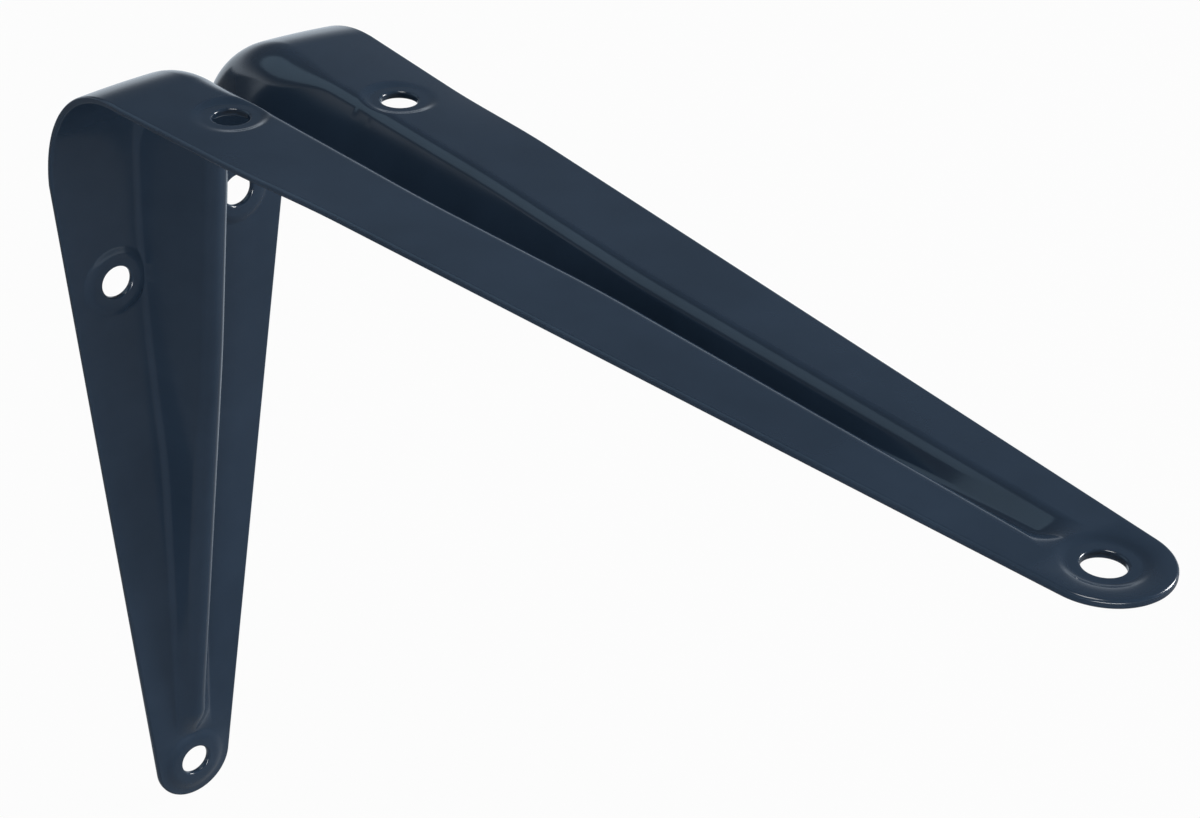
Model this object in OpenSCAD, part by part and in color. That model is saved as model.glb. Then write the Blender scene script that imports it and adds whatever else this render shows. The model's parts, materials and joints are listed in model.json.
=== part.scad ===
// Pressed steel shelf bracket: one sheet, two tapered arms, one stiffening rib.
// X runs out from the wall, Y along the wall, Z up.
// The origin is the centre of the lowest wall screw hole, where it opens in the outside face.

/* [Bracket] */
// Distance from the wall to the end of the shelf arm
shelf_reach = 200; // [170:1:260]
// Distance from the shelf down to the end of the wall arm
wall_drop = 150; // [130:1:220]
// Thickness of the steel sheet
sheet_t = 1.2; // [1:0.1:1.5]
// Radius of the corner bend on the outside face
bend_r = 21; // [19:0.5:22]

/* [Arms] */
// Half the width of the shelf arm where the taper starts
root_half_w = 23.2; // [21.5:0.1:26]
// Half the width of the wall arm where the taper starts
wall_half_w = 22.6; // [21.5:0.1:26]
// Distance from the corner at which the taper starts
taper_start = 22; // [22:1:30]
// Radius of the round end of the shelf arm
shelf_tip_r = 8.5; // [8:0.5:10]
// Radius of the round end of the wall arm
wall_tip_r = 7.5; // [7.5:0.5:9]
// How far the edges of the shelf arm bow down next to the corner
edge_bow = 0.8; // [0:0.1:1.5]
// Distance from the corner at which the bow starts to fade
bow_start = 44; // [35:1:50]
// Distance from the corner at which the edges are flat again
bow_end = 70; // [60:1:90]

/* [Rib] */
// Depth of the rib at the corner
rib_depth = 13; // [11:0.5:13]
// Depth of the rib at its knee
knee_depth = 10.5; // [8:0.5:11]
// Depth of the rib where its run-out starts
end_depth = 1.9; // [1.2:0.1:2.2]
// Place of the knee as a share of the arm's length
knee_share = 0.38; // [0.35:0.01:0.42]
// Place where the rib stops narrowing quickly, as a share of the arm's length
narrow_share = 0.56; // [0.5:0.01:0.6]
// Half width of the groove mouth where the bend meets the shelf arm
mouth_bend = 10; // [9:0.5:13]
// Half width of the groove mouth on both arms next to the corner
mouth_root = 8; // [7.6:0.1:8.6]
// Half width of the groove mouth at the knee
mouth_knee = 7; // [6.6:0.1:7.6]
// Half width of the groove mouth where quick narrowing stops
mouth_narrow = 4.8; // [4.7:0.1:6]
// Half width of the groove mouth at its end
mouth_end = 3.9; // [3.8:0.1:4.4]
// Radius of the rounded shoulders where the bend meets the shelf arm
shoulder_bend_r = 6.5; // [5:0.5:8]
// Radius of the rounded shoulders along the arms
shoulder_r = 2.5; // [2.2:0.1:2.6]
// Radius of the groove bottom
groove_r = 1.3; // [1:0.1:1.5]

/* [Screw holes] */
// Diameter of each screw hole
hole_d = 5.5; // [4.5:0.1:5.8]
// Half the spacing of the two holes beside the rib
hole_half_gap = 11.8; // [11.4:0.1:12.2]
// Distance from the wall to the near hole of the shelf arm
shelf_hole_near = 34.5; // [33.5:0.5:38]
// Distance from the wall to the far hole of the shelf arm
shelf_hole_far = 44; // [40:0.5:55]
// Distance from the shelf to the upper hole of the wall arm
wall_hole_upper = 32.5; // [32:0.5:38]
// Distance from the shelf to the lower hole of the wall arm
wall_hole_lower = 42; // [40:0.5:55]
// How deep the seat round each hole is pressed into the outside face
seat_h = 0.5; // [0.3:0.1:0.7]
// Radius of a seat's flat floor
seat_floor_r = 4.2; // [4:0.1:4.4]
// Radius of a seat where it meets the sheet
seat_r = 5.8; // [5.5:0.1:6]

/* [Hidden] */
steel_colour = "#33414f";
round_fn = 72;

// Height of the shelf above the origin, and place of the wall behind it
shelf_z = wall_drop - wall_tip_r;
wall_x = -seat_h;
// Distances from the corner to the end hole of each arm
shelf_tip_hole = shelf_reach - shelf_tip_r;
wall_tip_hole = wall_drop - wall_tip_r;
// Distance from the corner at which the shelf arm has its full shape
arm_start = bend_r + 14;
// Share of the bend, from the wall arm's side, on which the rib widens
widening_share = 0.7;
// The rib's run-out before an end hole
runout_start = 11.5;
runout_end = 5;
// Half width inside which the sheet doesn't bow
bow_free = 8;
// How deep the boss behind a seat is rooted in the sheet, beside the rib and on a round end
side_root = 0.6;
end_root = 0.2;
// Nearest that a boss comes to the middle of the rib
boss_clear = 6.6;
// How far a cutter passes the sheet
cut_over = 1;
// Steps along the bend, the arms and their details
bend_steps = 12;
blend_steps = 6;
root_steps = 4;
arm_steps = 8;
runout_steps = 6;
end_steps = 32;
// Steps across the groove bottom, the shoulder and the flat of the sheet
bottom_steps = 3;
shoulder_steps = 6;
flat_steps = 4;

function mix(a, b, t) = a + (b - a) * t;
function part_of(v, a, b) = min(1, max(0, (v - a) / (b - a)));
function ease(t) = t * t * (3 - 2 * t);
// Values from a to b in n even steps, without the first
function steps(a, b, n) = [for (i = [1:n]) mix(a, b, i / n)];

// An arm as [place of its end hole, radius of its end, half width next to the corner]
shelf_arm = [shelf_tip_hole, shelf_tip_r, root_half_w];
wall_arm = [wall_tip_hole, wall_tip_r, wall_half_w];

// Taper of an arm whose sides run tangent to its round end
function centre_run(arm) = arm[0] - taper_start;
function taper(arm) =
    atan2(arm[2], centre_run(arm)) - asin(arm[1] / norm([centre_run(arm), arm[2]]));
function half_w(s, arm) = arm[2] - max(0, s - taper_start) * tan(taper(arm));

// Depth of the groove at distance s from the corner
function depth_line(s, knee, last) =
    s < knee ? mix(rib_depth, knee_depth, part_of(s, bend_r, knee))
    : mix(knee_depth, end_depth, (s - knee) / (last - knee));
function groove_depth(s, tip_hole) =
    depth_line(s, knee_share * tip_hole, tip_hole - runout_start)
    * (1 - ease(part_of(s, tip_hole - runout_start, tip_hole - runout_end)));

// Half width of the groove mouth at distance s from the corner
function mouth_line(s, knee, narrow, last) =
    s < knee ? mix(mouth_root, mouth_knee, part_of(s, arm_start, knee))
    : s < narrow ? mix(mouth_knee, mouth_narrow, part_of(s, knee, narrow))
    : mix(mouth_narrow, mouth_end, part_of(s, narrow, last));
function mouth(s, tip_hole) =
    mouth_line(s, knee_share * tip_hole, narrow_share * tip_hole, tip_hole - runout_start);

// How wide the rib is opened, from 0 on the wall arm to 1 where the bend meets the shelf arm
function opened_on_bend(t) = ease(part_of(t, 0, widening_share));
function opened_on_shelf(s) = 1 - ease(part_of(s, bend_r, arm_start));

function bow(s) = edge_bow * (1 - ease(part_of(s, bow_start, bow_end)));
function bow_at(y, w, amount) = amount * pow(max(0, y - bow_free) / (w - bow_free), 2);

// Slope of the rib's flank, tangent to the groove bottom and to the shoulder
function flank(depth, m, rs) =
    atan2(depth - groove_r - rs, m)
    + asin(min(1, (groove_r + rs) / norm([m, depth - groove_r - rs])));

// Half of the section as [y, depth] pairs, from the rib's middle to the edge.
// off is 0 for the outside face and the sheet's thickness for the inside face.
function half_section(w, amount, m, rs, depth, off) =
    let (slope = flank(depth, m, rs))
    concat(
        [for (i = [0:bottom_steps])
            let (a = slope * i / bottom_steps)
            [(groove_r + off) * sin(a), depth - groove_r + (groove_r + off) * cos(a)]],
        [for (i = [0:shoulder_steps])
            let (a = slope * (1 - i / shoulder_steps))
            let (y = m - (rs - off) * sin(a))
            [y, rs - (rs - off) * cos(a) + bow_at(y, w, amount)]],
        [for (y = steps(m, w, flat_steps)) [y, off + bow_at(y, w, amount)]]);

function mirrored(half) =
    concat([for (i = [len(half) - 1:-1:1]) [-half[i][0], half[i][1]]], half);
function section(s, arm, w, amount, opened, off) =
    mirrored(half_section(w, amount, mix(mouth(s, arm[0]), mouth_bend, opened),
                          mix(shoulder_r, shoulder_bend_r, opened),
                          groove_depth(s, arm[0]), off));

// Distances from the corner of the sections along one arm
function arm_places(tip_hole) =
    concat(steps(bend_r, arm_start, blend_steps),
           steps(arm_start, bow_end, root_steps),
           steps(bow_end, tip_hole - runout_start, arm_steps),
           steps(tip_hole - runout_start, tip_hole - runout_end, runout_steps));

// A section's points in space, on the wall arm, the bend and the shelf arm
function on_wall(s, pts) = [for (p = pts) [wall_x + p[1], p[0], shelf_z - s]];
function on_bend(a, pts) =
    [for (p = pts)
        let (r = bend_r - p[1])
        [wall_x + bend_r - r * cos(a), p[0], shelf_z - bend_r + r * sin(a)]];
function on_shelf(s, pts) = [for (p = pts) [wall_x + s, p[0], shelf_z - p[1]]];

wall_places = arm_places(wall_tip_hole);
shelf_places = arm_places(shelf_tip_hole);

function face_rows(off) =
    concat(
        [for (i = [len(wall_places) - 1:-1:0])
            let (s = wall_places[i])
            on_wall(s, section(s, wall_arm, half_w(s, wall_arm), 0, 0, off))],
        [for (i = [0:bend_steps])
            let (t = i / bend_steps)
            let (w = mix(wall_half_w, root_half_w, ease(t)))
            on_bend(90 * t, section(bend_r, shelf_arm, w, edge_bow * ease(t),
                                    opened_on_bend(t), off))],
        [for (s = shelf_places)
            on_shelf(s, section(s, shelf_arm, half_w(s, shelf_arm), bow(s),
                                opened_on_shelf(s), off))]);

// The ribbed sheet between the two flat ends
module ribbed_sheet() {
    outer = face_rows(0);
    inner = face_rows(sheet_t);
    rows = len(outer);
    n = len(outer[0]);
    points = concat([for (r = outer) each r], [for (r = inner) each r]);
    shift = rows * n;
    cells = [for (i = [0:rows - 2]) for (j = [0:n - 2]) i * n + j];
    faces = concat(
        [for (k = cells) each [[k, k + 1, k + n + 1], [k, k + n + 1, k + n]]],
        [for (k = cells)
            each [[k + shift, k + shift + n + 1, k + shift + 1],
                  [k + shift, k + shift + n, k + shift + n + 1]]],
        [for (i = [0:rows - 2])
            let (k = i * n)
            each [[k, k + n, k + n + shift], [k, k + n + shift, k + shift]]],
        [for (i = [0:rows - 2])
            let (k = i * n + n - 1)
            each [[k, k + n + shift, k + n], [k, k + shift, k + n + shift]]],
        [for (j = [0:n - 2])
            each [[j, j + shift, j + shift + 1], [j, j + shift + 1, j + 1]]],
        [for (j = [0:n - 2])
            let (k = (rows - 1) * n + j)
            each [[k, k + shift + 1, k + shift], [k, k + 1, k + shift + 1]]]);
    polyhedron(points, faces, convexity = 10);
}

// Flat round end of an arm. Here X runs along the arm and Z out of the bracket.
module flat_end(arm) {
    joint = arm[0] - runout_end;
    w = half_w(joint, arm);
    sweep = 90 - taper(arm);
    round_end = [for (i = [0:end_steps])
        let (a = mix(-sweep, sweep, i / end_steps))
        [arm[0] + arm[1] * cos(a), arm[1] * sin(a)]];
    translate([0, 0, -sheet_t])
        linear_extrude(sheet_t)
            polygon(concat([[joint, -w]], round_end, [[joint, w]]));
}

// Half space from the given distance beside the rib, on the side that y is on
module beside(y, clear) {
    reach = 2 * root_half_w;
    if (y != 0)
        translate([-reach, y > 0 ? clear - y : -reach - clear - y, -reach])
            cube([2 * reach, reach, 2 * reach]);
    else
        cube(2 * reach, center = true);
}

// Slope of a seat's side, as the radius that it gains per millimetre of height
seat_flare = (seat_r - seat_floor_r) / seat_h;
// A boss is wider than its seat, so that the sheet keeps its thickness on the slope
boss_grow = sheet_t * tan(atan(1 / seat_flare) / 2);

// Boss on the inside face behind a seat, rooted in the sheet
module boss(y) {
    root = y == 0 ? end_root : side_root;
    intersection() {
        translate([0, 0, -sheet_t - seat_h])
            cylinder(h = seat_h + root, r1 = seat_floor_r + boss_grow,
                     r2 = seat_r + boss_grow + seat_flare * root, $fn = round_fn);
        beside(y, boss_clear);
    }
}

// Seat pressed into the outside face
module seat() {
    translate([0, 0, -seat_h])
        cylinder(h = seat_h + cut_over, r1 = seat_floor_r,
                 r2 = seat_r + seat_flare * cut_over, $fn = round_fn);
}

module screw_hole() {
    translate([0, 0, -sheet_t - seat_h - cut_over])
        cylinder(h = sheet_t + seat_h + 2 * cut_over, d = hole_d, $fn = round_fn);
}

// Frames whose X runs along an arm from the corner and whose Z points outwards
module shelf_frame() {
    translate([wall_x, 0, shelf_z]) children();
}
module wall_frame() {
    translate([wall_x, 0, shelf_z]) rotate([0, 90, 180]) children();
}

shelf_holes = [[shelf_hole_near, -hole_half_gap], [shelf_hole_far, hole_half_gap],
               [shelf_tip_hole, 0]];
// The wall frame is turned half round, so its Y runs the other way
wall_holes = [[wall_hole_lower, hole_half_gap], [wall_hole_upper, -hole_half_gap],
              [wall_tip_hole, 0]];

module bosses(places) {
    for (p = places) translate([p[0], p[1], 0]) boss(p[1]);
}

module hole_cuts(places) {
    for (p = places)
        translate([p[0], p[1], 0]) {
            seat();
            screw_hole();
        }
}

// The whole pressed bracket
module bracket() {
    color(steel_colour)
        difference() {
            union() {
                ribbed_sheet();
                shelf_frame() flat_end(shelf_arm);
                wall_frame() flat_end(wall_arm);
                shelf_frame() bosses(shelf_holes);
                wall_frame() bosses(wall_holes);
            }
            shelf_frame() hole_cuts(shelf_holes);
            wall_frame() hole_cuts(wall_holes);
        }
}

bracket();
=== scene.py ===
import json
import math

import bpy
import numpy as np
from mathutils import Matrix, Vector
from mathutils.geometry import delaunay_2d_cdt


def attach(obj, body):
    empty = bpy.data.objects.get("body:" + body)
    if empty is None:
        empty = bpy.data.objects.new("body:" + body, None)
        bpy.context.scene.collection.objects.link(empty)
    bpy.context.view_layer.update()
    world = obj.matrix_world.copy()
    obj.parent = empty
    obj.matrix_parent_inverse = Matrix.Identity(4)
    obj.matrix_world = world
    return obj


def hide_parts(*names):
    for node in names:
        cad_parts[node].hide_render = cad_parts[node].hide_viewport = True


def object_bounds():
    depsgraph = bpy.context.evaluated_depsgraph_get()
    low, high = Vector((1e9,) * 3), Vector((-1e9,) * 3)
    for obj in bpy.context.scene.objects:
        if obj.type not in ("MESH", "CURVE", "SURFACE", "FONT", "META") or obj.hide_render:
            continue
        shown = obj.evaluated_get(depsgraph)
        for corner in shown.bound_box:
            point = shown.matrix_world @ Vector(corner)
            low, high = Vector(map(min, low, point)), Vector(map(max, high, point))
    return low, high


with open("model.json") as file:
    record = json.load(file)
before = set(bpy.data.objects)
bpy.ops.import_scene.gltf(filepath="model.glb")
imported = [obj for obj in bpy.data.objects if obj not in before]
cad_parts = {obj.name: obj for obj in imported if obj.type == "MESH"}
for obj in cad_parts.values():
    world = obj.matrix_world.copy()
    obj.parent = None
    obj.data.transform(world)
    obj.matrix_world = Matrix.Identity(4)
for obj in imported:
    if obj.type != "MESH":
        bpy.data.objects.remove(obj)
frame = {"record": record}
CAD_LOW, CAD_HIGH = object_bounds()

bl_info = {
    "name": "Pressed shelf bracket",
    "version": (1, 0, 0),
    "blender": (4, 5, 0),
    "location": "3D View > Sidebar > Bracket",
    "description": "Presses a shelf bracket from one sheet, enamels it and sets it on a stage",
    "category": "Add Mesh",
}

MM = 0.001

# The walls of the screw holes are as long as the sheet is thick.
MOUNTS = {m["name"]: m for m in frame["record"]["mounts"]}
HOLE_R = MOUNTS["shelf_hole_end"]["dims"]["r_mm"] * MM
SHEET_T = MOUNTS["shelf_hole_end"]["dims"]["length_mm"] * MM

# Points over each half of a rounded edge.
EDGE_STEPS = 5

# Where the photograph's camera stands and how it is turned.
CAMERA_PLACE = (0.365122, -0.237491, 0.328709)
CAMERA_RIGHT = Vector((0.653834, 0.755487, 0.041707))
CAMERA_AHEAD = Vector((-0.638019, 0.580125, -0.506346))
SENSOR_WIDTH = 36

# The point between the arms at which all lamps are aimed.
LIT_POINT = Vector((0.08, 0, 0.08))
WHITE = (1, 1, 1)


class BracketSizes(bpy.types.PropertyGroup):
    """Sizes of the pressed sheet, apart from those that the frame gives."""

    bend_r: bpy.props.FloatProperty(
        name="Bend radius", description="Radius of the corner bend on the outside face",
        default=21 * MM, unit="LENGTH")
    wall_half_w: bpy.props.FloatProperty(
        name="Wall arm half width", description="Half the width of the wall arm at the corner",
        default=22.6 * MM, unit="LENGTH")
    taper_start: bpy.props.FloatProperty(
        name="Taper start", description="Distance from the corner at which the arms narrow",
        default=22 * MM, unit="LENGTH")
    shelf_tip_r: bpy.props.FloatProperty(
        name="Shelf arm end radius", description="Radius of the round end of the shelf arm",
        default=8.5 * MM, unit="LENGTH")
    wall_tip_r: bpy.props.FloatProperty(
        name="Wall arm end radius", description="Radius of the round end of the wall arm",
        default=7.5 * MM, unit="LENGTH")
    edge_bow: bpy.props.FloatProperty(
        name="Edge bow", description="How far the shelf arm's edges bow down by the corner",
        default=0.8 * MM, unit="LENGTH")
    rib_depth: bpy.props.FloatProperty(
        name="Rib depth", description="Depth of the rib at the corner",
        default=13 * MM, unit="LENGTH")
    knee_depth: bpy.props.FloatProperty(
        name="Knee depth", description="Depth of the rib at its knee",
        default=10.5 * MM, unit="LENGTH")
    end_depth: bpy.props.FloatProperty(
        name="End depth", description="Depth of the rib where its run-out starts",
        default=1.9 * MM, unit="LENGTH")
    groove_r: bpy.props.FloatProperty(
        name="Groove radius", description="Radius of the groove's bottom",
        default=1.3 * MM, unit="LENGTH")
    seat_h: bpy.props.FloatProperty(
        name="Seat depth", description="How deep the seat round each screw hole is pressed",
        default=0.5 * MM, unit="LENGTH")
    edge_r: bpy.props.FloatProperty(
        name="Edge radius", description="Rounding of the enamelled outer edges",
        default=0.42 * MM, unit="LENGTH")
    rim_r: bpy.props.FloatProperty(
        name="Hole rim radius", description="Rounding of the enamelled rims of the holes",
        default=0.4 * MM, unit="LENGTH")


class EnamelLook(bpy.types.PropertyGroup):
    """Colour and gloss of the stoved enamel."""

    colour: bpy.props.FloatVectorProperty(
        name="Enamel colour", description="Colour of the coat in plain light",
        default=(0.020, 0.035, 0.059), subtype="COLOR", size=3, min=0, max=1)
    thick_colour: bpy.props.FloatVectorProperty(
        name="Thick enamel colour", description="Colour where the coat runs thick",
        default=(0.014, 0.026, 0.045), subtype="COLOR", size=3, min=0, max=1)
    roughness: bpy.props.FloatProperty(
        name="Roughness", description="Roughness of the coat where it is thin",
        default=0.1, subtype="FACTOR", min=0, max=1)
    thick_roughness: bpy.props.FloatProperty(
        name="Added where thick", description="Roughness added where the coat runs thick",
        default=0.08, subtype="FACTOR", min=0, max=1)
    grain_roughness: bpy.props.FloatProperty(
        name="Added by the grain", description="Roughness added by the finest grain",
        default=0.05, subtype="FACTOR", min=0, max=1)
    peel: bpy.props.FloatProperty(
        name="Orange peel", description="Height of the coat's fine waviness",
        default=0.02 * MM, unit="LENGTH")


class StageLook(bpy.types.PropertyGroup):
    """Floor, light and camera."""

    floor_colour: bpy.props.FloatVectorProperty(
        name="Floor colour", description="Colour of the pale floor",
        default=(0.15, 0.15, 0.15), subtype="COLOR", size=3, min=0, max=1)
    floor_glow: bpy.props.FloatProperty(
        name="Floor glow", description="Share of pure white in the floor that the camera sees",
        default=0.97, subtype="FACTOR", min=0, max=1)
    room_low: bpy.props.FloatVectorProperty(
        name="Room, low down", description="Light of the room near the horizon",
        default=(0.68, 0.74, 0.80), subtype="COLOR", size=3, min=0, max=1)
    room_above: bpy.props.FloatVectorProperty(
        name="Room above", description="Light of the room overhead",
        default=(0.12, 0.13, 0.14), subtype="COLOR", size=3, min=0, max=1)
    gloss_white: bpy.props.FloatVectorProperty(
        name="White in the gloss", description="Colour of the white background in the gloss",
        default=(0.82, 0.91, 1.0), subtype="COLOR", size=3, min=0, max=1)
    key_power: bpy.props.FloatProperty(
        name="Key light", description="Power of the lamp above the bracket",
        default=7, unit="POWER")
    side_power: bpy.props.FloatProperty(
        name="Side light", description="Power of the lamp beyond the bracket's far side",
        default=17, unit="POWER")
    back_power: bpy.props.FloatProperty(
        name="Back light", description="Power of the large lamp behind the wall arm",
        default=7, unit="POWER")
    back_colour: bpy.props.FloatVectorProperty(
        name="Back light colour", description="Colour of the large lamp behind the wall arm",
        default=(0.55, 0.8, 1.0), subtype="COLOR", size=3, min=0, max=1)
    front_power: bpy.props.FloatProperty(
        name="Front light", description="Power of the low flat lamp in front of the bracket",
        default=10, unit="POWER")
    focal_length: bpy.props.FloatProperty(
        name="Focal length", description="Focal length of the camera on a 36 mm sensor",
        default=89.94, min=1, unit="CAMERA")


def ease(t):
    """A smooth step from 0 to 1."""
    return t * t * (3 - 2 * t)


def part_of(v, a, b):
    """The share of the way from a to b at which v lies, from 0 to 1."""
    return np.clip((v - a) / (b - a), 0, 1)


def faired(places, values, s, reach=5 * MM, samples=9):
    """Straight runs through the given places, with their corners rounded off."""
    shifts = np.linspace(-reach, reach, samples)
    return np.mean([np.interp(s + d, places, values) for d in shifts], axis=0)


def spread(a, b, step):
    """Places from a to b, no further apart than step."""
    return np.linspace(a, b, int(math.ceil(abs(b - a) / step)) + 1)


class Arm:
    """One tapered arm: its width and its rib at a distance s from the corner."""

    # Shares of the way to the end hole: where the rib has its knee, and where it is narrow.
    knee_share = 0.38
    narrow_share = 0.56
    # Distances before the end hole between which the rib runs out.
    runout_start = 11.5 * MM
    runout_end = 5 * MM
    # How far beyond the bend the rib takes on the arm's own section.
    full_form_run = 14 * MM
    # Half widths of the rib's mouth: by the bend, at the knee, where narrow, at the run-out.
    mouths = (8.0 * MM, 7.0 * MM, 4.8 * MM, 3.9 * MM)

    def __init__(self, sizes, reach, tip_r, root_half_w):
        self.sizes = sizes
        self.tip_r = tip_r
        self.tip_hole = reach - tip_r
        self.root_half_w = root_half_w
        run = self.tip_hole - sizes.taper_start
        self.taper = (math.atan2(root_half_w, run)
                      - math.asin(tip_r / math.hypot(run, root_half_w)))
        self.full_form = sizes.bend_r + self.full_form_run
        self.knee = self.knee_share * self.tip_hole
        self.narrow = self.narrow_share * self.tip_hole
        self.last = self.tip_hole - self.runout_start

    def half_width(self, s):
        """Half the width of the arm."""
        start = self.sizes.taper_start
        return self.root_half_w - np.maximum(0, s - start) * math.tan(self.taper)

    def rib_depth(self, s):
        """Depth of the rib, which thins out beyond its knee."""
        z = self.sizes
        line = faired([z.bend_r, self.knee, self.last, self.tip_hole],
                      [z.rib_depth, z.knee_depth, z.end_depth, z.end_depth], s)
        return line * (1 - ease(part_of(s, self.last, self.tip_hole - self.runout_end)))

    def mouth(self, s):
        """Half the width of the rib's mouth."""
        return faired([self.full_form, self.knee, self.narrow, self.last], self.mouths, s)


class PressedSheet:
    """The outside face of the bracket as a function of place on the flat blank.

    On the blank u runs from the wall arm's end (negative) over the middle of the corner bend
    (0) to the shelf arm's end, and y runs across."""

    # The shelf arm's edges bow down outside bow_free from the arm's middle line, and come
    # back up between bow_start and bow_end from the corner.
    bow_free = 8 * MM
    bow_start = 44 * MM
    bow_end = 70 * MM
    # A seat is flat out to its floor radius and meets the arm at its foot radius.
    seat_floor_r = 4.2 * MM
    seat_foot_r = 6.2 * MM
    # The rib's mouth is wide, with soft shoulders, where the bend meets the shelf arm.
    open_mouth = 10 * MM
    open_shoulder = 6.5 * MM
    arm_shoulder = 2.5 * MM
    # Share of the bend over which the mouth widens.
    widening_share = 0.7

    def __init__(self, sizes):
        self.sizes = sizes
        self.corner_z = CAD_HIGH.z
        self.wall_x = CAD_LOW.x
        self.half_bend = sizes.bend_r * math.pi / 4
        self.shelf = Arm(sizes, CAD_HIGH.x - CAD_LOW.x, sizes.shelf_tip_r, CAD_HIGH.y)
        self.wall = Arm(sizes, CAD_HIGH.z - CAD_LOW.z, sizes.wall_tip_r, sizes.wall_half_w)
        self.holes = [self.on_blank(m["pos_m"]) for n, m in MOUNTS.items() if "_hole_" in n]

    def on_blank(self, place):
        """Place of a hole on the blank."""
        x, y, z = place
        on_shelf = z > self.corner_z - self.sizes.bend_r
        s = x - self.wall_x if on_shelf else self.corner_z - z
        u = s - self.sizes.bend_r + self.half_bend
        return np.array([u if on_shelf else -u, y])

    def from_corner(self, u):
        """Distance along an arm from the corner that the arms would have without the bend."""
        return np.abs(u) - self.half_bend + self.sizes.bend_r

    def by_arm(self, u, what):
        """A value that both arms have, such as "mouth", taken from the arm that u is on."""
        s = np.maximum(self.from_corner(u), self.sizes.bend_r)
        return np.where(u > 0, getattr(self.shelf, what)(s), getattr(self.wall, what)(s))

    def half_width(self, u):
        """Half the width of the sheet, which changes smoothly over the bend."""
        s = self.from_corner(u)
        over_bend = ease(part_of(u, -self.half_bend, self.half_bend))
        on_bend = (self.wall.root_half_w
                   + (self.shelf.root_half_w - self.wall.root_half_w) * over_bend)
        on_arm = np.where(u > 0, self.shelf.half_width(s), self.wall.half_width(s))
        return np.where(np.abs(u) < self.half_bend, on_bend, on_arm)

    def rib(self, u):
        """Depth, half width of the mouth and radius of the shoulders of the rib."""
        end = -self.half_bend + 2 * self.half_bend * self.widening_share
        full = self.half_bend + self.shelf.full_form - self.sizes.bend_r
        opened = (ease(part_of(u, -self.half_bend, end))
                  * (1 - ease(part_of(u, self.half_bend, full))))
        mouth = self.by_arm(u, "mouth")
        return (self.by_arm(u, "rib_depth"), mouth + (self.open_mouth - mouth) * opened,
                self.arm_shoulder + (self.open_shoulder - self.arm_shoulder) * opened)

    def flank(self, depth, mouth, shoulder):
        """Slope of the rib's flank, tangent to the groove's bottom and to its shoulder."""
        r = self.sizes.groove_r
        rise = depth - r - shoulder
        reach = np.hypot(mouth, rise)
        return np.arctan2(rise, mouth) + np.arcsin(np.minimum(1, (r + shoulder) / reach))

    def groove(self, u, y):
        """How deep the rib's outside face lies."""
        r = self.sizes.groove_r
        y = np.abs(y)
        depth, mouth, shoulder = self.rib(u)
        slope = self.flank(depth, mouth, shoulder)
        bottom = depth - r + np.sqrt(np.maximum(r * r - y * y, 0))
        straight = (depth - r + r * np.cos(slope)
                    - (y - r * np.sin(slope)) * np.tan(slope))
        into = np.clip(mouth - y, 0, shoulder)
        crest = shoulder - np.sqrt(shoulder * shoulder - into * into)
        return np.where(y < r * np.sin(slope), bottom,
                        np.where(y < mouth - shoulder * np.sin(slope), straight, crest))

    def bow(self, u, y):
        """How far the edges bow down on the shelf arm, next to the corner."""
        s = self.from_corner(u)
        onto_bend = ease(part_of(u, -self.half_bend, self.half_bend))
        along = onto_bend * (1 - ease(part_of(s, self.bow_start, self.bow_end)))
        out = np.maximum(0, np.abs(y) - self.bow_free) / (self.half_width(u) - self.bow_free)
        return self.sizes.edge_bow * along * np.minimum(out, 1) ** 2

    def depth(self, u, y):
        """Depth of the outside face below the flat, with the seats pressed in."""
        d = self.groove(u, y) + self.bow(u, y)
        for hole in self.holes:
            r = np.hypot(u - hole[0], y - hole[1])
            on_seat = 1 - ease(part_of(r, self.seat_floor_r, self.seat_foot_r))
            d = d + (self.sizes.seat_h - d) * on_seat
        return d

    def outside(self, u, y):
        """Points of the outside face in space."""
        d = self.depth(u, y)
        # The bend turns from 0 at the wall arm to a right angle at the shelf arm.
        angle = np.clip(u / self.half_bend, -1, 1) * math.pi / 4 + math.pi / 4
        beyond = np.maximum(0, np.abs(u) - self.half_bend) * np.sign(u)
        on_shelf, on_wall = np.maximum(beyond, 0), np.minimum(beyond, 0)
        r = self.sizes.bend_r - d
        x = self.wall_x + self.sizes.bend_r - r * np.cos(angle) + on_shelf
        z = self.corner_z - self.sizes.bend_r + r * np.sin(angle) + on_wall
        return np.stack([x, y, z], axis=-1)

    def normal(self, u, y, step=0.01 * MM):
        """Directions out of the outside face."""
        along = self.outside(u + step, y) - self.outside(u - step, y)
        across = self.outside(u, y + step) - self.outside(u, y - step)
        n = np.cross(along, across)
        return n / np.linalg.norm(n, axis=-1, keepdims=True)


def quads(rows, count):
    """The corner numbers of each quad in a grid of rows with count points each."""
    first = [i * count + j for i in range(rows - 1) for j in range(count - 1)]
    return np.array([[a, a + count, a + count + 1, a + 1] for a in first])


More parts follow.
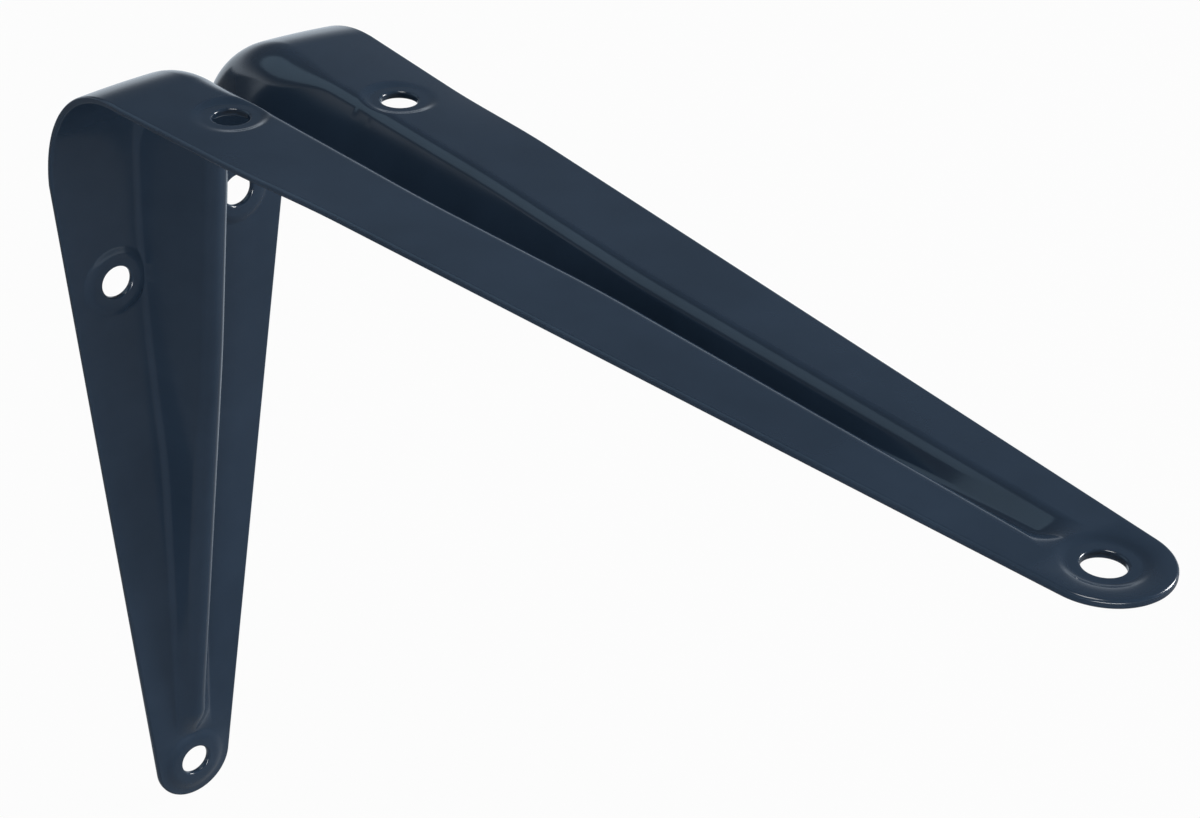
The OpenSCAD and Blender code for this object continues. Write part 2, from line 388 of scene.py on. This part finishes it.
class Blank:
    """The flat blank as a mesh of points [u, y] and faces, cut to its outline and its holes."""

    # Steps across half the sheet: on the groove's bottom, its flank, its shoulder, the flat.
    bottom_steps = 5
    flank_steps = 7
    shoulder_steps = 10
    flat_steps = 13
    # Points round a hole and round the end of an arm.
    round_steps = 96
    end_points = 60
    # Longest steps along the sheet: on the bend, on an arm, and where the rib runs out.
    bend_step = 0.8 * MM
    arm_step = 1.25 * MM
    runout_step = 0.5 * MM
    # Round each hole a patch is filled with rings of points. They stop short of its border.
    patch_r = 6.6 * MM
    patch_gap = 0.25 * MM
    end_gap = 0.8 * MM
    ring_step = 0.34 * MM
    # Where the rib is almost flat, its columns of points still lie as for this slope.
    least_slope = 0.35
    # Twice the area, in square metres, below which a triangle is a sliver.
    sliver = 1e-14
    # The triangulation makes only what its fence encloses. Points nearer than this, in mm,
    # count as touching.
    fenced_only = 1
    touching = 1e-5

    def __init__(self, form):
        self.form = form
        self.inset = form.sizes.edge_r
        self.rim = HOLE_R + form.sizes.rim_r
        grid = self.columns(self.rows())
        count = len(grid[0])
        self.points = [tuple(p) for row in grid for p in row]
        self.faces = []
        cells = quads(len(grid), count)
        where = np.array(self.points)
        removed = np.zeros(len(cells), bool)
        for hole in form.holes:
            # A hole on the middle line is cut with the round end that it lies in.
            if abs(hole[1]) < HOLE_R:
                continue
            near = np.linalg.norm(where - hole, axis=1) < self.patch_r
            hit = near[cells].any(axis=1)
            removed |= hit
            self.patch(cells[hit], hole)
        self.faces += [list(c) for c in cells[~removed]]
        first_row = list(range(count))
        last_row = list(range((len(grid) - 1) * count, len(grid) * count))
        self.round_end(form.shelf, last_row, 1)
        self.round_end(form.wall, first_row[::-1], -1)

    def arm_rows(self, arm):
        """Places along an arm, from the end of the bend to the end of the rib's run-out."""
        start = self.form.half_bend
        last = arm.last - self.form.sizes.bend_r + start
        end = arm.tip_hole - arm.runout_end - self.form.sizes.bend_r + start
        return np.concatenate([spread(start, last, self.arm_step)[1:],
                               spread(last, end, self.runout_step)[1:]])

    def rows(self):
        """Places along the blank, from the wall arm's last section to the shelf arm's."""
        form = self.form
        bend = spread(-form.half_bend, form.half_bend, self.bend_step)
        return np.concatenate([-self.arm_rows(form.wall)[::-1], bend, self.arm_rows(form.shelf)])

    def columns(self, u):
        """A row of points across the blank at each place, closer where the rib curves."""
        form = self.form
        r = form.sizes.groove_r
        depth, mouth, shoulder = form.rib(u)
        slope = np.maximum(form.flank(depth, mouth, shoulder), self.least_slope)
        edge = form.half_width(u) - self.inset
        foot, crest = r * np.sin(slope), mouth - shoulder * np.sin(slope)
        half = [r * np.sin(slope * i / self.bottom_steps) for i in range(self.bottom_steps + 1)]
        half += [foot + (crest - foot) * i / self.flank_steps for i in range(1, self.flank_steps)]
        half += [mouth - shoulder * np.sin(slope * (1 - i / self.shoulder_steps))
                 for i in range(self.shoulder_steps + 1)]
        half += [mouth + (edge - mouth) * i / self.flat_steps
                 for i in range(1, self.flat_steps + 1)]
        across = np.stack([-y for y in half[:0:-1]] + half, axis=1)
        return np.stack([np.repeat(u[:, None], across.shape[1], axis=1), across], axis=2)

    def rings(self, hole, radii):
        """Adds rings of points round a hole, and returns the numbers of the innermost."""
        angles = np.arange(self.round_steps) * 2 * math.pi / self.round_steps
        first = len(self.points)
        for k, r in enumerate(radii):
            shift = (k % 2) * math.pi / self.round_steps
            self.points += [(hole[0] + r * math.cos(a + shift), hole[1] + r * math.sin(a + shift))
                            for a in angles]
        return list(range(first, first + self.round_steps))

    def patch(self, cells, hole):
        """Fills the place of the removed cells round a hole."""
        edges = {}
        for cell in cells:
            for a, b in zip(cell, np.roll(cell, -1)):
                if (b, a) in edges:
                    del edges[(b, a)]
                else:
                    edges[(a, b)] = True
        ring = self.rings(hole, spread(self.rim, self.patch_r - self.patch_gap, self.ring_step))
        border = sorted(set(v for e in edges for v in e))
        self.fill(list(edges), border, ring, hole)

    def round_end(self, arm, row, side):
        """Fills the round end of an arm, beyond the last row of the grid."""
        form = self.form
        centre = (arm.tip_hole - form.sizes.bend_r + form.half_bend) * side
        hole = np.array([centre, 0])
        r = arm.tip_r - self.inset
        sweep = math.pi / 2 - arm.taper
        angles = np.linspace(sweep, -sweep, self.end_points)
        flip = 0 if side > 0 else math.pi
        first = len(self.points)
        self.points += [(centre + r * math.cos(a + flip), r * math.sin(a + flip)) for a in angles]
        loop = row + list(range(first, len(self.points)))
        edges = list(zip(loop, loop[1:] + loop[:1]))
        ring = self.rings(hole, spread(self.rim, self.patch_r - self.end_gap, self.ring_step))
        self.fill(edges, loop, ring, hole)

    def fill(self, edges, border, ring, hole):
        """Triangles between a border and the innermost ring, with the rings' points inside."""
        local = border + list(range(ring[0], len(self.points)))
        number = {v: i for i, v in enumerate(local)}
        fence = [(number[a], number[b]) for a, b in edges]
        fence += [(number[a], number[b]) for a, b in zip(ring, ring[1:] + ring[:1])]
        scaled = [Vector(self.points[v]) / MM for v in local]
        found = delaunay_2d_cdt(scaled, fence, [], self.fenced_only, self.touching)
        triangles, origins = found[2], found[3]
        for triangle in triangles:
            corners = [local[origins[v][0]] for v in triangle]
            p = np.array([self.points[v] for v in corners])
            if np.linalg.norm(p.mean(axis=0) - hole) < self.rim:
                continue
            side, other = p[1] - p[0], p[2] - p[0]
            turn = side[0] * other[1] - side[1] * other[0]
            if abs(turn) < self.sliver:
                continue
            self.faces.append(corners if turn > 0 else corners[::-1])


def loops_of(faces):
    """Chains of corners along the open edges, with the sheet on their left."""
    edges = set()
    for face in faces:
        for a, b in zip(face, face[1:] + face[:1]):
            if (b, a) in edges:
                edges.remove((b, a))
            else:
                edges.add((a, b))
    following = dict(edges)
    loops = []
    while following:
        start = next(iter(following))
        loop = [start]
        v = following.pop(start)
        while v != start:
            loop.append(v)
            v = following.pop(v)
        loops.append(loop)
    return loops


def edge_profile(r):
    """Points over an edge rounded by r: how far out, how deep in, and the direction's turn."""
    turns = np.linspace(0, math.pi / 2, EDGE_STEPS + 1)
    profile = [(r * math.sin(a), r * (1 - math.cos(a)), a) for a in turns[1:]]
    profile += [(r * math.sin(a), SHEET_T - r * (1 - math.cos(a)), math.pi - a)
                for a in turns[:0:-1]]
    return profile


def thicken(form, blank):
    """Points, directions and faces of the whole sheet, with rounded edges."""
    place = np.array(blank.points)
    u, y = place[:, 0], place[:, 1]
    outside, normal = form.outside(u, y), form.normal(u, y)
    inside = outside - normal * SHEET_T
    count = len(place)
    points, normals = [outside, inside], [normal, -normal]
    faces = [list(f) for f in blank.faces] + [[v + count for v in f[::-1]] for f in blank.faces]
    base = 2 * count
    for loop in loops_of(blank.faces):
        rim = outside[loop]
        tangent = np.roll(rim, -1, axis=0) - np.roll(rim, 1, axis=0)
        out = np.cross(tangent, normal[loop])
        out /= np.linalg.norm(out, axis=1, keepdims=True)
        # The outline has many more points than a hole's rim.
        is_outline = len(loop) > 2 * blank.round_steps
        rings = [list(loop)]
        for reach, sink, angle in edge_profile(form.sizes.edge_r if is_outline
                                               else form.sizes.rim_r):
            points.append(rim + out * reach - normal[loop] * sink)
            normals.append(out * math.sin(angle) + normal[loop] * math.cos(angle))
            rings.append(list(range(base, base + len(loop))))
            base += len(loop)
        rings.append([v + count for v in loop])
        for near, far in zip(rings, rings[1:]):
            for i in range(len(loop)):
                j = (i + 1) % len(loop)
                faces.append([near[j], near[i], far[i], far[j]])
    return np.concatenate(points), np.concatenate(normals), faces


class Wire:
    """A shader socket that can be used in plain arithmetic."""

    def __init__(self, tree, socket):
        self.tree = tree
        self.socket = socket

    def node(self, kind, settings=None, inputs=None, out=0):
        """Any other node: its type, its settings, then the values or links of its sockets."""
        made = self.tree.nodes.new(kind)
        for name, value in (settings or {}).items():
            setattr(made, name, value)
        for name, value in (inputs or {}).items():
            if isinstance(value, Wire):
                self.tree.links.new(value.socket, made.inputs[name])
            else:
                made.inputs[name].default_value = value
        return Wire(self.tree, made.outputs[out])

    def maths(self, operation, first, second):
        """A Math node on two sockets or numbers."""
        return self.node("ShaderNodeMath", {"operation": operation}, {0: first, 1: second})

    def __add__(self, other):
        return self.maths("ADD", self, other)

    def __radd__(self, other):
        return self.maths("ADD", other, self)

    def __mul__(self, other):
        return self.maths("MULTIPLY", self, other)

    def __rmul__(self, other):
        return self.maths("MULTIPLY", other, self)

    def limited(self, low, high):
        """The share of the way from low to high, from 0 to 1."""
        return self.node("ShaderNodeMapRange", {"clamp": True},
                         {"Value": self, "From Min": low, "From Max": high})

    def mixed(self, first, second):
        """The first colour where this is 0, the second where it is 1."""
        return self.node("ShaderNodeMix", {"data_type": "RGBA"},
                         {0: self, 6: first, 7: second}, out=2)

    def noise(self, scale, detail):
        """Soft noise at the places that this wire carries, with scale waves to the metre."""
        return self.node("ShaderNodeTexNoise", {"noise_dimensions": "3D"},
                         {"Vector": self, "Scale": scale, "Detail": detail, "Roughness": 0.5})

    def feeds(self, socket):
        """Links this wire to a shader's socket."""
        self.tree.links.new(self.socket, socket)


def start_material(name):
    """An empty material with its shader, and a wire to make nodes from."""
    material = bpy.data.materials.new(name)
    material.use_nodes = True
    tree = material.node_tree
    shader = tree.nodes["Principled BSDF"]
    return material, shader, Wire(tree, shader.outputs[0])


def enamel(look):
    """Stoved enamel: deep gloss, a little uneven in thickness, with a fine orange peel."""
    material, shader, wire = start_material("stoved_enamel")
    place = wire.node("ShaderNodeTexCoord", out="Object")
    flow = place.noise(scale=38, detail=4)
    patches = place.noise(scale=160, detail=3)
    peel = place.noise(scale=520, detail=3)
    grain = place.noise(scale=2600, detail=2)
    thick = (flow * 0.7 + patches * 0.3).limited(low=0.35, high=0.7)
    thick.mixed((*look.colour, 1), (*look.thick_colour, 1)).feeds(shader.inputs["Base Color"])
    roughness = look.roughness + thick * look.thick_roughness + grain * look.grain_roughness
    roughness.feeds(shader.inputs["Roughness"])
    bump = wire.node("ShaderNodeBump", {}, {"Strength": 0.5, "Distance": look.peel,
                                            "Height": peel * 0.8 + grain * 0.2})
    bump.feeds(shader.inputs["Normal"])
    shader.inputs["IOR"].default_value = 1.5
    return material


def white_background(wire, look, in_gloss):
    """Where the white background shows and its colour.

    It shows to the camera as pure white, and by a share in gloss and glass, a little cool."""
    camera = wire.node("ShaderNodeLightPath", out="Is Camera Ray")
    gloss = wire.node("ShaderNodeLightPath", out="Is Glossy Ray")
    glass = wire.node("ShaderNodeLightPath", out="Is Transmission Ray")
    share = camera + (gloss + glass) * in_gloss
    return share, camera.mixed((*look.gloss_white, 1), (*WHITE, 1))


def pale_floor(look):
    """A matt floor that shows white to the camera and keeps a soft shadow.

    The gloss of the enamel shows it white behind the wall arm on the far side, and grey
    elsewhere, with a soft edge between front and back."""
    front, back = 20 * MM, -30 * MM
    material, shader, wire = start_material("pale_floor")
    shader.inputs["Base Color"].default_value = (*look.floor_colour, 1)
    shader.inputs["Roughness"].default_value = 0.9
    place = wire.node("ShaderNodeTexCoord", out="Object")
    out, along = [wire.node("ShaderNodeSeparateXYZ", {}, {0: place}, out=i) for i in (0, 1)]
    behind = out.limited(front, back) * along.limited(back, front)
    share, white = white_background(wire, look, behind)
    glow = wire.node("ShaderNodeEmission", {}, {"Color": white, "Strength": 1.0})
    mixed = wire.node("ShaderNodeMixShader", {}, {0: share * look.floor_glow, 1: wire, 2: glow})
    mixed.feeds(wire.tree.nodes["Material Output"].inputs["Surface"])
    return material


class BRACKET_OT_sheet(bpy.types.Operator):
    """Press and fold the bracket from its flat blank, and enamel it"""

    bl_idname = "bracket.sheet"
    bl_label = "Pressed sheet"

    def execute(self, context):
        form = PressedSheet(context.scene.bracket_sizes)
        points, normals, faces = thicken(form, Blank(form))
        mesh = bpy.data.meshes.new("bracket_sheet")
        mesh.from_pydata(points.tolist(), [], faces)
        if mesh.validate():
            raise RuntimeError("the pressed sheet's mesh has broken faces")
        mesh.shade_smooth()
        mesh.normals_split_custom_set_from_vertices(normals.tolist())
        sheet = bpy.data.objects.new("bracket_sheet", mesh)
        context.scene.collection.objects.link(sheet)
        mesh.materials.append(enamel(context.scene.enamel_look))
        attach(sheet, "root")
        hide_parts("bracket")
        return {"FINISHED"}


class BRACKET_OT_stage(bpy.types.Operator):
    """Lay the floor, hang the lights and place the camera"""

    bl_idname = "bracket.stage"
    bl_label = "Stage"

    def execute(self, context):
        look = context.scene.stage_look
        self.lay_floor(context, look)
        self.light_room(context, look)
        self.hang_lamps(context, look)
        self.place_camera(context, look)
        context.scene.view_settings.view_transform = "Standard"
        return {"FINISHED"}

    def lay_floor(self, context, look):
        """A square floor under the bracket's lowest point."""
        half_side = 3.0
        corners = [(x * half_side, y * half_side, CAD_LOW.z)
                   for x, y in ((-1, -1), (1, -1), (1, 1), (-1, 1))]
        mesh = bpy.data.meshes.new("floor")
        mesh.from_pydata(corners, [], [(0, 1, 2, 3)])
        floor = bpy.data.objects.new("floor", mesh)
        context.scene.collection.objects.link(floor)
        mesh.materials.append(pale_floor(look))

    def light_room(self, context, look):
        """A room that is pale low down and dim above, with a white background."""
        # Heights on the unit sphere: the horizon, where the room is dim from, and where the
        # white in the gloss ends.
        horizon, dim_from, white_to = 0.0, 0.25, 0.12
        world = context.scene.world or bpy.data.worlds.new("studio")
        context.scene.world = world
        world.use_nodes = True
        tree = world.node_tree
        room = tree.nodes["Background"]
        wire = Wire(tree, room.outputs[0])
        way = wire.node("ShaderNodeTexCoord", out="Generated")
        height = wire.node("ShaderNodeSeparateXYZ", {}, {0: way}, out=2)
        pale, dim = (*look.room_low, 1), (*look.room_above, 1)
        height.limited(horizon, dim_from).mixed(pale, dim).feeds(room.inputs["Color"])
        share, white = white_background(wire, look, height.limited(white_to, horizon))
        paper = wire.node("ShaderNodeBackground", {}, {"Color": white, "Strength": 1.0})
        shown = wire.node("ShaderNodeMixShader", {}, {0: share, 1: wire, 2: paper})
        shown.feeds(tree.nodes["World Output"].inputs["Surface"])

    def hang_lamps(self, context, look):
        """Four lamps with soft shadows. The front one is low, so the flats don't mirror it."""
        lamps = (
            ("key_light", (0.2, -0.35, 1.3), (0.5, 0.5), look.key_power, WHITE),
            ("side_light", (0.5, 1.05, 0.65), (0.5, 0.5), look.side_power, WHITE),
            ("back_light", (-1.66, -1.0, 1.8), (2.0, 2.0), look.back_power, look.back_colour),
            ("low_front_light", (1.05, -0.7, 0.06), (1.0, 0.13), look.front_power, WHITE),
        )
        for name, place, (wide, high), power, colour in lamps:
            lamp = bpy.data.lights.new(name, "AREA")
            lamp.shape = "ELLIPSE"
            lamp.size = wide
            lamp.size_y = high
            lamp.energy = power
            lamp.color = colour
            held = bpy.data.objects.new(name, lamp)
            held.location = place
            aim = LIT_POINT - held.location
            held.rotation_euler = aim.to_track_quat("-Z", "Y").to_euler()
            context.scene.collection.objects.link(held)

    def place_camera(self, context, look):
        """The photograph's camera."""
        camera = bpy.data.cameras.new("camera")
        camera.lens = look.focal_length
        camera.sensor_width = SENSOR_WIDTH
        camera.clip_start = 0.01
        camera.clip_end = 20
        held = bpy.data.objects.new("camera", camera)
        context.scene.collection.objects.link(held)
        up = CAMERA_RIGHT.cross(CAMERA_AHEAD).normalized()
        turn = Matrix((CAMERA_RIGHT, up, -CAMERA_AHEAD)).transposed().to_4x4()
        held.matrix_world = Matrix.Translation(CAMERA_PLACE) @ turn
        context.scene.camera = held


class BRACKET_PT_panel(bpy.types.Panel):
    """The bracket's pieces, in the order in which they are made"""

    bl_idname = "BRACKET_PT_panel"
    bl_label = "Bracket"
    bl_space_type = "VIEW_3D"
    bl_region_type = "UI"
    bl_category = "Bracket"

    def draw(self, context):
        for operator in PIECES:
            self.layout.operator(operator.bl_idname)


PIECES = (BRACKET_OT_sheet, BRACKET_OT_stage)
CLASSES = (BracketSizes, EnamelLook, StageLook, *PIECES, BRACKET_PT_panel)


def register():
    """Makes the classes known to Blender and hangs the settings on the scene."""
    for cls in CLASSES:
        bpy.utils.register_class(cls)
    bpy.types.Scene.bracket_sizes = bpy.props.PointerProperty(type=BracketSizes)
    bpy.types.Scene.enamel_look = bpy.props.PointerProperty(type=EnamelLook)
    bpy.types.Scene.stage_look = bpy.props.PointerProperty(type=StageLook)


def unregister():
    """Takes back what register did."""
    del bpy.types.Scene.stage_look
    del bpy.types.Scene.enamel_look
    del bpy.types.Scene.bracket_sizes
    for cls in reversed(CLASSES):
        bpy.utils.unregister_class(cls)


def main():
    """Makes the bracket and its stage."""
    register()
    bpy.ops.bracket.sheet()
    bpy.ops.bracket.stage()


if __name__ == "__main__":
    main()
